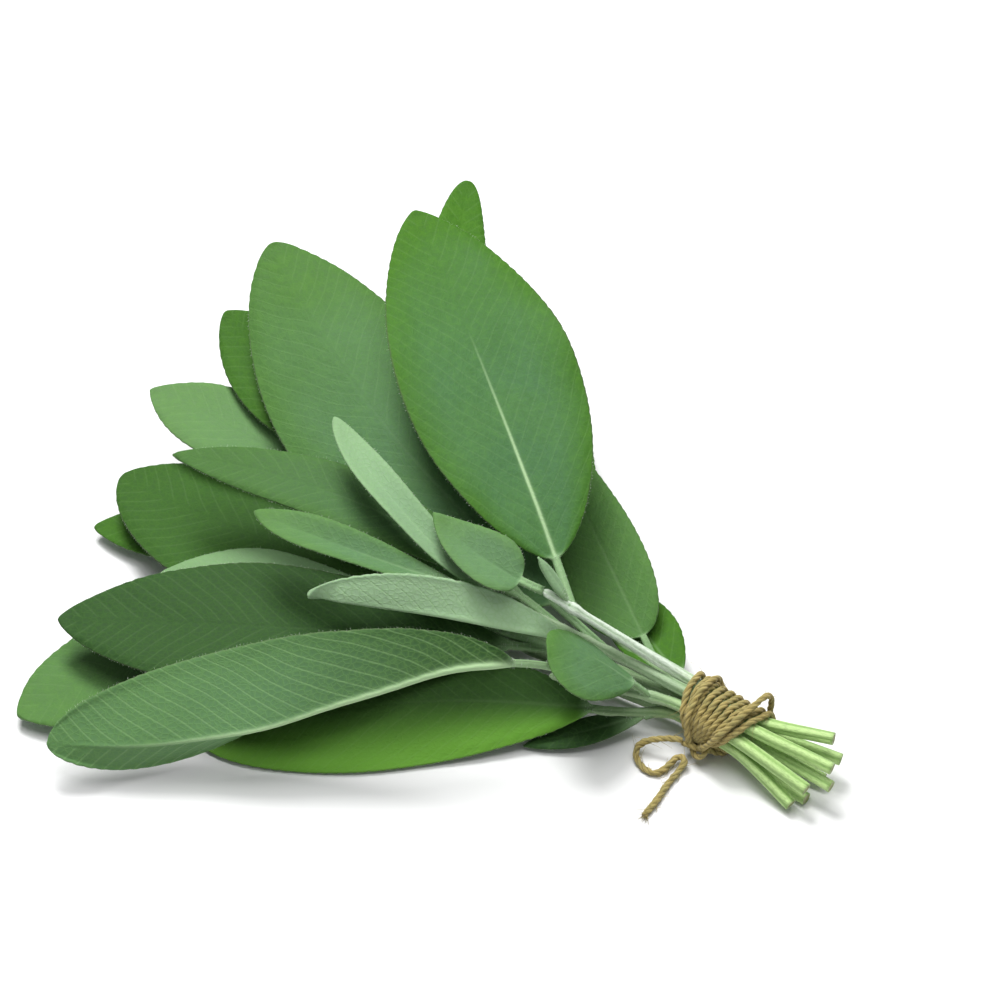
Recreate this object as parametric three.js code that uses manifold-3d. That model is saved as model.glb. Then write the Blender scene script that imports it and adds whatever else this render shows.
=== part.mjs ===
// A tied bunch of garden sage lying on a table: eight leafy stems, a twine wrap and its bow.
// Millimetres. +X runs from the cut ends to the leaf tips, +Z is up, the table is z = 0.
import * as THREE from 'three';
import Module from 'manifold-3d';

const wasm = await Module();
wasm.setup();

// ---- Driving sizes -----------------------------------------------------------------------

const STEM_FOOT = 2.6;      // across a stem at its cut end
const STEM_TOP = 1.7;       // across a stem at its top
const STEM_SIDES = 8;
const STEM_RINGS = 14;
const BLADE = 0.7;          // thickness of a leaf
const MIDRIB = 0.55;        // how far the midrib stands out of the underside
const PETIOLE = 1.8;        // across a leaf stalk
const TIP = 0.5;            // across the blunt end of a leaf tip
const TWINE = 1.4;          // across the twine
const TWINE_SIDES = 8;
const GAP = 0.6;            // air left between the twine and the stems
const TABLE_CLEAR = 0.05;   // the lowest leaf skin over the table

// ---- The stems ---------------------------------------------------------------------------
// Each route runs from the cut end through the tie (the last point but two) to the top.

const STEMS = {
  top: [[-21.5, -7.4, 11.6], [-8, -2.1, 10.9], [1, -1.8, 10.3], [10, -1.4, 11], [20, 3.4, 17.3],
    [37, 13, 30]],
  centre: [[-25, -2.5, 9.5], [-8, 1.1, 11.4], [1, 1.1, 11.1], [10, 1.5, 10.8], [24, 6.2, 14.9],
    [50, 19, 27]],
  front: [[-23, 3, 6.5], [-8, 3.9, 9.4], [1, 3.8, 9.2], [10, 4.2, 8.9], [20, 10.2, 11],
    [30, 19, 15]],
  front_low: [[-21, 5, 2.2], [-8, 4.1, 6.2], [1, 3.9, 6.1], [10, 4.2, 5.7], [16, 8.8, 5.6],
    [22, 15, 7]],
  middle: [[-26, -1.2, 6], [-8, 0.6, 7.7], [1, 0.6, 7.6], [10, 0.8, 7.5], [25, 5, 9],
    [72, 23, 17]],
  back_low: [[-22, -4.5, 2.2], [-8, -1.5, 4.3], [1, -1.4, 4.5], [10, -1.8, 4.6], [24, -6.5, 5.4],
    [40, -12, 7]],
  back: [[-23, -8.5, 5.5], [-8, -3.3, 7.1], [1, -3, 7.2], [10, -2.8, 7.5], [26, -1.8, 8.6],
    [62, -6, 17]],
  bottom: [[-22, 1.2, 1], [-16, 1.4, 0.6], [-8, 1.7, 4], [1, 1.7, 4.1], [10, 1.9, 3.9],
    [24, 4.6, 3], [62, 12, 5]],
};

// ---- The leaves --------------------------------------------------------------------------
// at       place on its stem, 0 at the tie and 1 at the top
// heading  direction seen from above, degrees from +X; rise: degrees above level
// length, width; widest: where the blade is widest, 0 to 1; blunt: below 0.7 the ends are rounder
// petiole  share of the length that is stalk
// roll, twist   turn about the midrib at the root, and the further turn by the tip
// fold, foldTip how far each half stands up from the midrib, degrees
// arch, peak    rise of the midrib over its chord, and where it is highest
// sway     sideways bow of the midrib; wave: height of the edge's waves
// near     width of the right half against the left

const LEAVES = {
  tall: { stem: 'top', at: 0.85, heading: -28, rise: 19, length: 96.5, width: 37, widest: 0.47,
    blunt: 0.68, petiole: 0.11, roll: -4, fold: 8, arch: 4.5, wave: 0.8 },
  young_heart: { stem: 'top', at: 1, heading: 10, rise: 19, length: 27, width: 13, widest: 0.3,
    blunt: 0.75, petiole: 0.18, roll: -10, fold: 25, sway: 2 },
  shoot: { stem: 'top', at: 0.85, heading: 18, rise: 57, length: 14, width: 3, widest: 0.5,
    blunt: 0.75, petiole: 0.12, fold: 40 },
  blunt_top: { stem: 'front', at: 0.2, heading: 38, rise: 36, length: 26.5, width: 21, widest: 0.62,
    blunt: 0.45, petiole: 0.2, roll: 4, fold: -8, arch: 1.5, near: 0.6 },
  pale_hood: { stem: 'centre', at: 0.62, heading: 41, rise: 14, length: 57, width: 17.5,
    widest: 0.56, blunt: 0.55, petiole: 0.06, roll: 64, twist: 10, fold: 65, foldTip: 50, arch: 2.5,
    peak: 0.43, sway: 2 },
  pale_narrow: { stem: 'centre', at: 0.92, heading: -3, rise: 23, length: 50, width: 9,
    widest: 0.52, blunt: 0.57, petiole: 0.06, fold: 45, arch: 2.5, sway: 4.5 },
  pale_lance: { stem: 'centre', at: 0.96, heading: 24, rise: 10, length: 49.5, width: 9.5,
    widest: 0.61, blunt: 0.63, petiole: 0.09, roll: -10, fold: 40, arch: 2, sway: 3 },
  long_left: { stem: 'centre', at: 0.7, heading: 15, rise: 7, length: 90, width: 14, widest: 0.56,
    blunt: 0.68, petiole: 0.09, roll: -10, fold: 8, arch: 6, sway: -3.5, wave: 0.3 },
  broad_back: { stem: 'centre', at: 0.52, heading: -12, rise: 13, length: 121, width: 39.5,
    widest: 0.51, blunt: 0.6, petiole: 0.12, roll: -17, fold: -9, arch: 4, peak: 0.4, sway: 8.5,
    wave: 0.6 },
  folded_front: { stem: 'front', at: 0.62, heading: 48, rise: -1.2, length: 111, width: 35,
    widest: 0.56, blunt: 0.53, petiole: 0.16, roll: 64, twist: 74, fold: 76, foldTip: 5, arch: 14.5,
    peak: 0.25, sway: 6, near: 0.5 },
  lowest_front: { stem: 'front_low', at: 0.81, heading: 43, rise: -4, length: 83, width: 29,
    widest: 0.59, blunt: 0.5, petiole: 0.04, roll: -22, fold: -5, arch: 3, sway: -3.5, wave: 0.3 },
  small_front: { stem: 'front_low', at: 0.17, heading: 52, rise: -10, length: 28.5, width: 6.5,
    widest: 0.5, blunt: 0.76, petiole: 0.1, roll: -10, fold: 5 },
  light_left: { stem: 'middle', at: 0.87, heading: -1, rise: 4, length: 86, width: 18.5,
    widest: 0.74, blunt: 0.74, petiole: 0.11, roll: -6, fold: 8, arch: 1.5, sway: -5 },
  wide_left: { stem: 'middle', at: 0.74, heading: 12, rise: -1, length: 95, width: 31.5,
    widest: 0.61, blunt: 0.58, petiole: 0.09, roll: -8, fold: 0, arch: 1.5, sway: 3.5, wave: 0.4 },
  wide_front: { stem: 'middle', at: 0.62, heading: 38, rise: 2, length: 104, width: 30,
    widest: 0.57, blunt: 0.68, petiole: 0.1, roll: -10, fold: 4, arch: 4, sway: 2 },
  pale_rim: { stem: 'middle', at: 0.6, heading: 27, rise: 1, length: 88.5, width: 18, widest: 0.72,
    blunt: 0.87, petiole: 0.16, roll: -5, fold: 4, arch: 4.5, sway: 0.5 },
  right_curve: { stem: 'back', at: 0.3, heading: -28, rise: 12, length: 68, width: 23, widest: 0.3,
    blunt: 0.84, petiole: 0.12, roll: -16, twist: -2, fold: 10, arch: 4, sway: 2, near: 0.7 },
  right_small: { stem: 'back', at: 0.08, heading: -23, rise: 2, length: 29, width: 14, widest: 0.5,
    blunt: 0.62, petiole: 0.07, roll: -5, fold: 8, arch: 1, sway: 1.5 },
  back_outer: { stem: 'back_low', at: 1, heading: -32, rise: 4, length: 86, width: 18, widest: 0.55,
    blunt: 0.68, petiole: 0.13, roll: 8, fold: 10, arch: 7, peak: 0.36, wave: 0.3 },
  back_inner: { stem: 'back_low', at: 0.6, heading: -24, rise: -1, length: 99, width: 22,
    widest: 0.5, blunt: 0.68, petiole: 0.12, roll: -6, fold: 10, arch: 3, sway: 0.5 },
  dark_left: { stem: 'back', at: 0.94, heading: 0, rise: 9, length: 86.5, width: 24.5, widest: 0.62,
    blunt: 0.67, petiole: 0.12, roll: -17, twist: -2, fold: 3, arch: 6.5, peak: 0.32, sway: 5 },
  back_tip: { stem: 'back', at: 1, heading: -43, rise: 13, length: 90, width: 15, widest: 0.44,
    blunt: 0.42, petiole: 0.12, roll: 11, twist: -2, fold: 8, arch: 7.5, peak: 0.34, sway: 6 },
  low_left: { stem: 'bottom', at: 0.93, heading: 21, rise: -1, length: 87, width: 18.5,
    widest: 0.67, blunt: 0.67, petiole: 0.12, fold: 6, arch: 1, sway: -6 },
  corner: { stem: 'bottom', at: 1, heading: 58, rise: -1, length: 92, width: 27, widest: 0.71,
    blunt: 0.7, petiole: 0.12, fold: 6, arch: 2, sway: -6, wave: 0.4 },
  under_back: { stem: 'bottom', at: 0.78, heading: -32, rise: -2, length: 75, width: 24,
    widest: 0.6, blunt: 0.65, petiole: 0.13, fold: 6, arch: 2.5 },
};

// ---- The twine ---------------------------------------------------------------------------
// Closed turns that all pass the knot at the front and fan out over the top.

const KNOT_ANGLE = -37;             // round the bundle from +Y, degrees
const KNOT_X = 2;
const TURNS_X = [8.8, 6.9, 5, 3.1, 1.2, -0.7, -2.6, -4.5, -6.4, -8.3];   // where each turn crosses the back
const OVER_TURNS_X = [5.5, -6.6];
const TURN_STEPS = 16;
const SLACK = { turn: -6.6, angle: 126, height: 2.3, spread: 30 };   // a turn that stands off
const BUNDLE_CENTRE = [0.6, 7.6];    // y, z of the tied stems' middle

const BOW = [[4.4, 7.8, 4.9], [6, 8.7, 4.9], [8.1, 9.9, 4.4], [10.4, 11.5, 3.4],
  [11.5, 13.1, 2.2], [10.5, 14.8, 1.3], [8, 15.8, 0.9], [5.5, 15.6, 0.9], [4.5, 13.8, 0.9],
  [4.2, 11.6, 1.3], [3.9, 10, 1.9], [2.9, 9.5, 2.2], [2, 10.1, 1.9], [1.9, 11.8, 1.1],
  [1.4, 16.4, 0.8], [0.4, 21.2, 0.8], [-0.1, 25.4, 0.8]];
const BOW_STEPS = 60;

const SAGE_GREEN = new THREE.MeshStandardMaterial({ color: 0x5b8a52, roughness: 0.75, metalness: 0 });
const JUTE = new THREE.MeshStandardMaterial({ color: 0xa8946a, roughness: 0.9, metalness: 0 });

// ---- Helpers -----------------------------------------------------------------------------

const UP = new THREE.Vector3(0, 0, 1);
const rad = THREE.MathUtils.degToRad;
const clamp = THREE.MathUtils.clamp;
const mix = (a, b, t) => a + (b - a) * t;
const vec = ([x, y, z]) => new THREE.Vector3(x, y, z);
const add = (p, ...terms) => {
  const out = p.clone();
  for (const [v, k] of terms) out.addScaledVector(v, k);
  return out;
};

// A closed solid from rings of points. Each ring runs clockwise seen from the far end. Between
// two rings the faces on the second half of the ring are cut the other way, so a blade's two
// faces are split alike. The end caps join each point to the one across the ring.
function skin(rings, looped = false) {
  const n = rings[0].length;
  const points = rings.flat();
  const faces = [];
  const spans = looped ? rings.length : rings.length - 1;
  for (let r = 0; r < spans; r++) {
    const r2 = (r + 1) % rings.length;
    for (let k = 0; k < n; k++) {
      const k2 = (k + 1) % n;
      const [a, b, c, d] = [r * n + k, r * n + k2, r2 * n + k2, r2 * n + k];
      if (k >= n / 2) faces.push(a, d, b, b, d, c);
      else faces.push(a, c, b, a, d, c);
    }
  }
  if (!looped) {
    const last = (rings.length - 1) * n;
    for (let k = 0; k < n / 2 - 1; k++) {
      const [a, b, c, d] = [k, k + 1, n - 2 - k, n - 1 - k];
      faces.push(a, b, c, a, c, d);
      faces.push(last + a, last + c, last + b, last + a, last + d, last + c);
    }
  }
  return new wasm.Manifold(new wasm.Mesh({
    numProp: 3,
    vertProperties: new Float32Array(points.flatMap((p) => [p.x, p.y, p.z])),
    triVerts: new Uint32Array(faces),
  }));
}

// One ring of a round rod: flat sides face straight up and down.
function rodRing(centre, along, across, sides, up = UP) {
  const side = new THREE.Vector3().crossVectors(along, up).normalize().negate();
  const top = new THREE.Vector3().crossVectors(along, side);
  const reach = across / 2 / Math.cos(Math.PI / sides);
  const ring = [];
  for (let k = 0; k < sides; k++) {
    const angle = Math.PI - (k + 0.5) * 2 * Math.PI / sides;
    ring.push(add(centre, [side, reach * Math.cos(angle)], [top, reach * Math.sin(angle)]));
  }
  return ring;
}

const fuse = (solids) => solids.reduce((sum, next) => sum.add(next));

function meshOf(name, solid, material) {
  const { vertProperties, triVerts } = solid.getMesh();
  const geometry = new THREE.BufferGeometry();
  geometry.setAttribute('position', new THREE.BufferAttribute(new Float32Array(vertProperties), 3));
  geometry.setIndex(new THREE.BufferAttribute(new Uint32Array(triVerts), 1));
  geometry.computeVertexNormals();
  const mesh = new THREE.Mesh(geometry, material);
  mesh.name = name;
  return mesh;
}

// ---- Stems -------------------------------------------------------------------------------

const stemCurve = (name) => new THREE.CatmullRomCurve3(STEMS[name].map(vec), false, 'catmullrom', 0.5);

// A stem keeps its underside on or over the table.
function stemPoint(name, t) {
  const point = stemCurve(name).getPoint(t);
  point.z = Math.max(point.z, STEM_FOOT / 2);
  return point;
}

// The place on a stem at a share of the way from the tie to its top.
function onStem(name, at) {
  const spans = STEMS[name].length - 1;
  return stemPoint(name, (spans - 2 + 2 * at) / spans);
}

function stemSolid(name) {
  const rings = [];
  for (let i = 0; i <= STEM_RINGS; i++) {
    const t = i / STEM_RINGS;
    const before = stemPoint(name, Math.max(t - 0.01, 0));
    const after = stemPoint(name, Math.min(t + 0.01, 1));
    const across = mix(STEM_FOOT, STEM_TOP, clamp((t - 0.4) / 0.6, 0, 1));
    rings.push(rodRing(stemPoint(name, t), after.sub(before).normalize(), across, STEM_SIDES));
  }
  return skin(rings);
}

// ---- Leaves ------------------------------------------------------------------------------

const SIDE_STEPS = [-1, -0.5, 0, 0.5, 1];
const BLADE_ROWS = [0.12, 0.28, 0.45, 0.62, 0.78, 0.9, 0.97, 1];

// The midrib's place and the directions along, across and out of the upper face.
function ribFrame(leaf, u) {
  const { heading, rise, length, roll = 0, twist = 0, arch = 0, peak = 0.5, sway = 0 } = leaf;
  const [h, r] = [rad(heading), rad(rise)];
  const chord = new THREE.Vector3(Math.cos(r) * Math.cos(h), Math.cos(r) * Math.sin(h), Math.sin(r));
  const side = new THREE.Vector3(-Math.sin(h), Math.cos(h), 0);
  const over = new THREE.Vector3().crossVectors(chord, side);
  const k = (1 - peak) / peak;
  const height = peak * (1 - peak) ** k;
  const bow = u * (1 - u) ** k / height;
  const bowSlope = ((1 - u) ** k - k * u * Math.max(1 - u, 1e-6) ** (k - 1)) / height;
  const centre = add(onStem(leaf.stem, leaf.at),
    [chord, u * length], [over, arch * bow], [side, sway * 4 * u * (1 - u)]);
  const along = add(new THREE.Vector3(),
    [chord, length], [over, arch * bowSlope], [side, sway * 4 * (1 - 2 * u)]).normalize();
  const turn = rad(roll + twist * u * u);
  const across = add(new THREE.Vector3(), [side, Math.cos(turn)], [over, Math.sin(turn)]);
  across.addScaledVector(along, -across.dot(along)).normalize();
  const out = new THREE.Vector3().crossVectors(along, across);
  return { centre, across, out };
}

// How far along the blade a point is, 0 to 1, and half the leaf's width there.
function halfWidth(leaf, u) {
  const t = clamp((u - leaf.petiole) / (1 - leaf.petiole), 0, 1);
  const lean = Math.log(0.5) / Math.log(leaf.widest);
  const half = leaf.width / 2 * Math.abs(Math.sin(Math.PI * t ** lean)) ** leaf.blunt;
  return { t, half: Math.max(half, u <= leaf.petiole + 0.02 ? PETIOLE / 2 : TIP / 2) };
}

// A point on the leaf's middle sheet at u along and v across, with the sheet's own outward side.
function sheetPoint(leaf, u, v) {
  const { fold = 12, foldTip = fold / 2, near = 1, wave = 0 } = leaf;
  const { centre, across, out } = ribFrame(leaf, u);
  const { t, half } = halfWidth(leaf, u);
  const lift = rad(mix(fold, foldTip, t * t)) * clamp((half - 1) / 4, 0, 1);
  const reach = half * (v < 0 ? v * near : v);
  const ripple = wave * Math.sin(2 * Math.PI * 2.2 * t) * v * v * Math.sin(Math.PI * t);
  const point = add(centre, [across, reach * Math.cos(lift)],
    [out, Math.abs(reach) * Math.sin(lift) + ripple]);
  if (point.z < 2.4) point.z = 0.4 + 2 * Math.exp((point.z - 2.4) / 2);
  const outward = add(new THREE.Vector3(), [out, Math.cos(lift)], [across, -Math.sign(v) * Math.sin(lift)]);
  return { point, outward, stalk: t === 0 };
}

function leafSolid(leaf) {
  const rows = [0, leaf.petiole, ...BLADE_ROWS.map((t) => mix(leaf.petiole, 1, t))];
  const rings = rows.map((u) => {
    const sheet = SIDE_STEPS.map((v) => sheetPoint(leaf, u, v));
    const face = (side) => sheet.map(({ point, outward, stalk }, i) => {
      const rib = i === 2 ? (side < 0 || stalk ? MIDRIB : 0) : 0;
      const skinPoint = add(point, [outward, side * (BLADE / 2 + rib * (leaf.width > 5 ? 1 : 0.3))]);
      skinPoint.z = Math.max(skinPoint.z, TABLE_CLEAR);
      return skinPoint;
    });
    return [...face(1), ...face(-1).reverse()];
  });
  return skin(rings);
}

function leafyStem(name) {
  const leaves = Object.values(LEAVES).filter((leaf) => leaf.stem === name);
  return meshOf(`leafy_stem_${name}`, fuse([stemSolid(name), ...leaves.map(leafSolid)]), SAGE_GREEN);
}

// ---- Twine -------------------------------------------------------------------------------

const STEM_SAMPLES = Object.keys(STEMS).map((name) =>
  Array.from({ length: 121 }, (_, i) => stemPoint(name, i / 120)));

// The stems' middles where they cross a plane x = const near the tie.
const stemsAt = (x) => STEM_SAMPLES.map((samples) =>
  samples.reduce((best, p) => (Math.abs(p.x - x) < Math.abs(best.x - x) ? p : best)));

// A point round the bundle: far enough out to clear every stem.
function roundBundle(x, angle, layer) {
  const [cy, cz] = BUNDLE_CENTRE;
  const [ny, nz] = [Math.cos(rad(angle)), Math.sin(rad(angle))];
  const reach = Math.max(...stemsAt(x).map((p) => (p.y - cy) * ny + (p.z - cz) * nz));
  const out = reach + STEM_FOOT / 2 / Math.cos(Math.PI / STEM_SIDES) + GAP + TWINE / 2 + layer;
  const lowest = TWINE / 2 / Math.cos(Math.PI / TWINE_SIDES) + TABLE_CLEAR;
  return new THREE.Vector3(x, cy + out * ny, Math.max(cz + out * nz, lowest));
}

function turnSolid(farX, layer) {
  const points = [];
  for (let i = 0; i < TURN_STEPS; i++) {
    const sweep = 360 * i / TURN_STEPS;
    const angle = KNOT_ANGLE + sweep;
    const share = Math.sin(rad(sweep / 2)) ** 0.8;
    const off = farX === SLACK.turn
      ? SLACK.height * Math.exp(-(((angle - SLACK.angle) / SLACK.spread) ** 2)) : 0;
    points.push(roundBundle(mix(KNOT_X, farX, share), angle, layer + off));
  }
  const rings = points.map((point, i) => {
    const next = points[(i + 1) % points.length];
    const last = points[(i + points.length - 1) % points.length];
    return rodRing(point, next.clone().sub(last).normalize(), TWINE, TWINE_SIDES,
      new THREE.Vector3(1, 0, 0));
  });
  return skin(rings, true);
}

function knotSolid() {
  const middle = roundBundle(KNOT_X, KNOT_ANGLE, TWINE * 0.7);
  const rings = [];
  for (let i = 1; i < 8; i++) {
    const lean = Math.PI * i / 8;
    const ring = rodRing(new THREE.Vector3(2.9 * -Math.cos(lean), 0, 0), new THREE.Vector3(1, 0, 0),
      3.8 * Math.sin(lean), 10);
    rings.push(ring.map((p) => p.add(middle)));
  }
  return skin(rings);
}

function twineWrap() {
  const turns = TURNS_X.map((x) => turnSolid(x, 0));
  const over = OVER_TURNS_X.map((x) => turnSolid(x, TWINE * 0.8));
  return meshOf('twine_wrap', fuse([...turns, ...over, knotSolid()]), JUTE);
}

function twineBow() {
  const curve = new THREE.CatmullRomCurve3(BOW.map(vec), false, 'catmullrom', 0.5);
  const rings = [];
  let up = UP.clone();
  for (let i = 0; i <= BOW_STEPS; i++) {
    const along = curve.getTangentAt(i / BOW_STEPS);
    up.addScaledVector(along, -up.dot(along)).normalize();
    rings.push(rodRing(curve.getPointAt(i / BOW_STEPS), along, TWINE, TWINE_SIDES, up));
  }
  return meshOf('twine_bow', skin(rings), JUTE);
}

// ---- The bunch ---------------------------------------------------------------------------

const bunch = new THREE.Group();
bunch.name = 'bunch';
for (const name of Object.keys(STEMS)) bunch.add(leafyStem(name));
bunch.add(twineWrap());
bunch.add(twineBow());

// The part's origin is the middle of its bounding box, at the bottom.
const box = new THREE.Box3().setFromObject(bunch);
const middle = box.getCenter(new THREE.Vector3());
bunch.position.set(-middle.x, -middle.y, -box.min.z);

const sageBunch = new THREE.Group();
sageBunch.name = 'sage_bunch';
sageBunch.add(bunch);

export default sageBunch;
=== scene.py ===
# %% [markdown]
# # A tied bunch of garden sage
#
# Eight leafy stems lie on a table, held near their cut ends by jute twine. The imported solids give
# every stem, leaf and turn of twine its place. This lesson loads them as a fixed frame, hides them,
# and grows a finer bunch in the same places: thin veined leaves, squarish downy stems, laid twine.

import bpy
import numpy as np
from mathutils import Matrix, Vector


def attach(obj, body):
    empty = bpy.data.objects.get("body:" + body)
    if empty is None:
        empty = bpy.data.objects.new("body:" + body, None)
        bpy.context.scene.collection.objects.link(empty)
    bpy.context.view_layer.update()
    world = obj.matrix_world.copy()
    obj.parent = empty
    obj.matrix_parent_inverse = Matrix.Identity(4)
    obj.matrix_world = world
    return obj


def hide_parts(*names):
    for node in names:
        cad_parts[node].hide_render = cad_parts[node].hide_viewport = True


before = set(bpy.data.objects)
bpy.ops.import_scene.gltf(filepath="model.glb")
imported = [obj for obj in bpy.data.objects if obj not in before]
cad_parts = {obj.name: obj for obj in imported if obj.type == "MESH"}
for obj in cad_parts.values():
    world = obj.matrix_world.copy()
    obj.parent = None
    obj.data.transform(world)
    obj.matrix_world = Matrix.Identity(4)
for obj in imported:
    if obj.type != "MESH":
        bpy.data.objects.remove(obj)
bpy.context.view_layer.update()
print("solids:", sorted(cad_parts))

# %% [markdown]
# ## Routes of the stems
#
# Each stem is a smooth route through six or seven points, in millimetres, with the tie at x = 0.
# The solids were made from the same points, so they are repeated here. A Catmull-Rom curve passes
# through every point, which is easier to lay out than a Bezier curve with its handles.

# %% The stems' routes and the twine's
MM = 0.001
STEM_FOOT = 2.6
STEM_TOP = 1.7
TWINE = 1.4

STEMS = {
    "top": [(-21.5, -7.4, 11.6), (-8, -2.1, 10.9), (1, -1.8, 10.3), (10, -1.4, 11), (20, 3.4, 17.3),
        (37, 13, 30)],
    "centre": [(-25, -2.5, 9.5), (-8, 1.1, 11.4), (1, 1.1, 11.1), (10, 1.5, 10.8), (24, 6.2, 14.9),
        (50, 19, 27)],
    "front": [(-23, 3, 6.5), (-8, 3.9, 9.4), (1, 3.8, 9.2), (10, 4.2, 8.9), (20, 10.2, 11),
        (30, 19, 15)],
    "front_low": [(-21, 5, 2.2), (-8, 4.1, 6.2), (1, 3.9, 6.1), (10, 4.2, 5.7), (16, 8.8, 5.6),
        (22, 15, 7)],
    "middle": [(-26, -1.2, 6), (-8, 0.6, 7.7), (1, 0.6, 7.6), (10, 0.8, 7.5), (25, 5, 9),
        (72, 23, 17)],
    "back_low": [(-22, -4.5, 2.2), (-8, -1.5, 4.3), (1, -1.4, 4.5), (10, -1.8, 4.6),
        (24, -6.5, 5.4), (40, -12, 7)],
    "back": [(-23, -8.5, 5.5), (-8, -3.3, 7.1), (1, -3, 7.2), (10, -2.8, 7.5), (26, -1.8, 8.6),
        (62, -6, 17)],
    "bottom": [(-22, 1.2, 1), (-16, 1.4, 0.6), (-8, 1.7, 4), (1, 1.7, 4.1), (10, 1.9, 3.9),
        (24, 4.6, 3), (62, 12, 5)],
}

BOW = [(4.4, 7.8, 4.9), (6, 8.7, 4.9), (8.1, 9.9, 4.4), (10.4, 11.5, 3.4), (11.5, 13.1, 2.2),
       (10.5, 14.8, 1.3), (8, 15.8, 0.9), (5.5, 15.6, 0.9), (4.5, 13.8, 0.9), (4.2, 11.6, 1.3),
       (3.9, 10, 1.9), (2.9, 9.5, 2.2), (2, 10.1, 1.9), (1.9, 11.8, 1.1), (1.4, 16.4, 0.8),
       (0.4, 21.2, 0.8), (-0.1, 25.4, 0.8)]

print("stems:", len(STEMS), " bow:", len(BOW), "points")

# %% [markdown]
# ## Curves through points
#
# Everything in the bunch follows a curve: stems, midribs, twine. Blender's own curve objects would
# do, but here the points are wanted as arrays, to put rings and leaves on them, so a few short
# functions on arrays take their place.

# %% Curve helpers


def unit(v):
    return v / np.maximum(np.linalg.norm(v, axis=-1, keepdims=True), 1e-12)


def mix(a, b, share):
    return a + (b - a) * share


def smooth(x):
    """0 below 0, 1 above 1, and an even S between."""
    x = np.clip(x, 0, 1)
    return x * x * (3 - 2 * x)


def route(points, shares):
    """The smooth curve through points, at shares from 0 to 1 of its spans."""
    p = np.array(points, float)
    p = np.vstack([2 * p[0] - p[1], p, 2 * p[-1] - p[-2]])
    spans = len(points) - 1
    place = np.clip(np.asarray(shares, float), 0, 1) * spans
    i = np.minimum(place.astype(int), spans - 1)
    t = (place - i)[..., None]
    a, b, c, d = (p[i + k] for k in range(4))
    return 0.5 * (2 * b + (c - a) * t + (2 * a - 5 * b + 4 * c - d) * t ** 2
                  + (3 * b - a - 3 * c + d) * t ** 3)


def stem_route(name, shares):
    """A stem's middle; its underside stays on or over the table."""
    points = route(STEMS[name], shares)
    points[..., 2] = np.maximum(points[..., 2], STEM_FOOT / 2)
    return points


def even_steps(points, step):
    """Points along a polyline at even steps of about that length."""
    gone = np.concatenate([[0], np.cumsum(np.linalg.norm(np.diff(points, axis=0), axis=1))])
    places = np.linspace(0, gone[-1], max(int(gone[-1] / step), 3) + 1)
    return np.stack([np.interp(places, gone, points[:, k]) for k in range(3)], 1)


def polyline_length(path):
    return float(np.linalg.norm(np.diff(path, axis=0), axis=1).sum())


longest = max(STEMS, key=lambda name: polyline_length(np.array(STEMS[name])))
print("the longest stem is", longest, round(polyline_length(np.array(STEMS[longest]))), "mm")

# %% [markdown]
# ## From the routes' millimetres to the frame's metres
#
# The frame puts its origin under the middle of the bunch, and the routes put theirs at the tie. A
# typed offset would go wrong as soon as a solid changed. The cut end of the top stem is easy to find
# in both, so it gives the step from one to the other.

# %% Find the tie in the frame


def cut_end(node):
    """The middle of the ring of corners at a leafy stem's cut end, in metres."""
    corners = np.array([v.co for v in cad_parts[node].data.vertices])
    ring = corners[corners[:, 0] < corners[:, 0].min() + 1.5 * MM]
    return (ring.min(0) + ring.max(0)) / 2


TIE = cut_end("leafy_stem_top") - np.array(STEMS["top"][0]) * MM


def in_frame(points):
    """Millimetres from the tie, to metres in the frame."""
    return np.asarray(points, float) * MM + TIE


print("the tie is at", TIE.round(4))

# %% [markdown]
# ## The camera
#
# A long lens about three quarters of a metre away looks down at 45 degrees, from the side where the
# cut ends lie. A short lens close by would swell the nearest leaf. A long one keeps the near and far
# leaves at nearly one scale, which suits a small flat thing.

# %% Set the camera
EYE = (-271.1, 380.5, 535.0)
VIEW_AZIMUTH = 221
VIEW_ELEVATION = 45
LENS = 126

camera = bpy.data.objects.new("camera", bpy.data.cameras.new("camera"))
bpy.context.scene.collection.objects.link(camera)
turn = np.radians(VIEW_AZIMUTH)
tilt = np.radians(VIEW_ELEVATION)
look = Vector((-np.sin(turn) * np.cos(tilt), np.cos(turn) * np.cos(tilt), -np.sin(tilt)))
camera.location = in_frame(EYE)
camera.rotation_euler = look.to_track_quat("-Z", "Y").to_euler()
camera.data.lens = LENS
camera.data.clip_start = 0.01
bpy.context.scene.camera = camera
print("camera at", [round(x, 3) for x in camera.location])

# %% [markdown]
# ## A mesh that remembers where it is
#
# Every piece here is a skin over rows of points: rings round a stem, rings round a leaf's two faces,
# rings round a strand. A small class gathers such rows. It also keeps marks, which are numbers per
# point such as the distance from the midrib. The materials read them later, so veins and fibres
# follow the form without any flat map.

# %% The mesh maker


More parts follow.
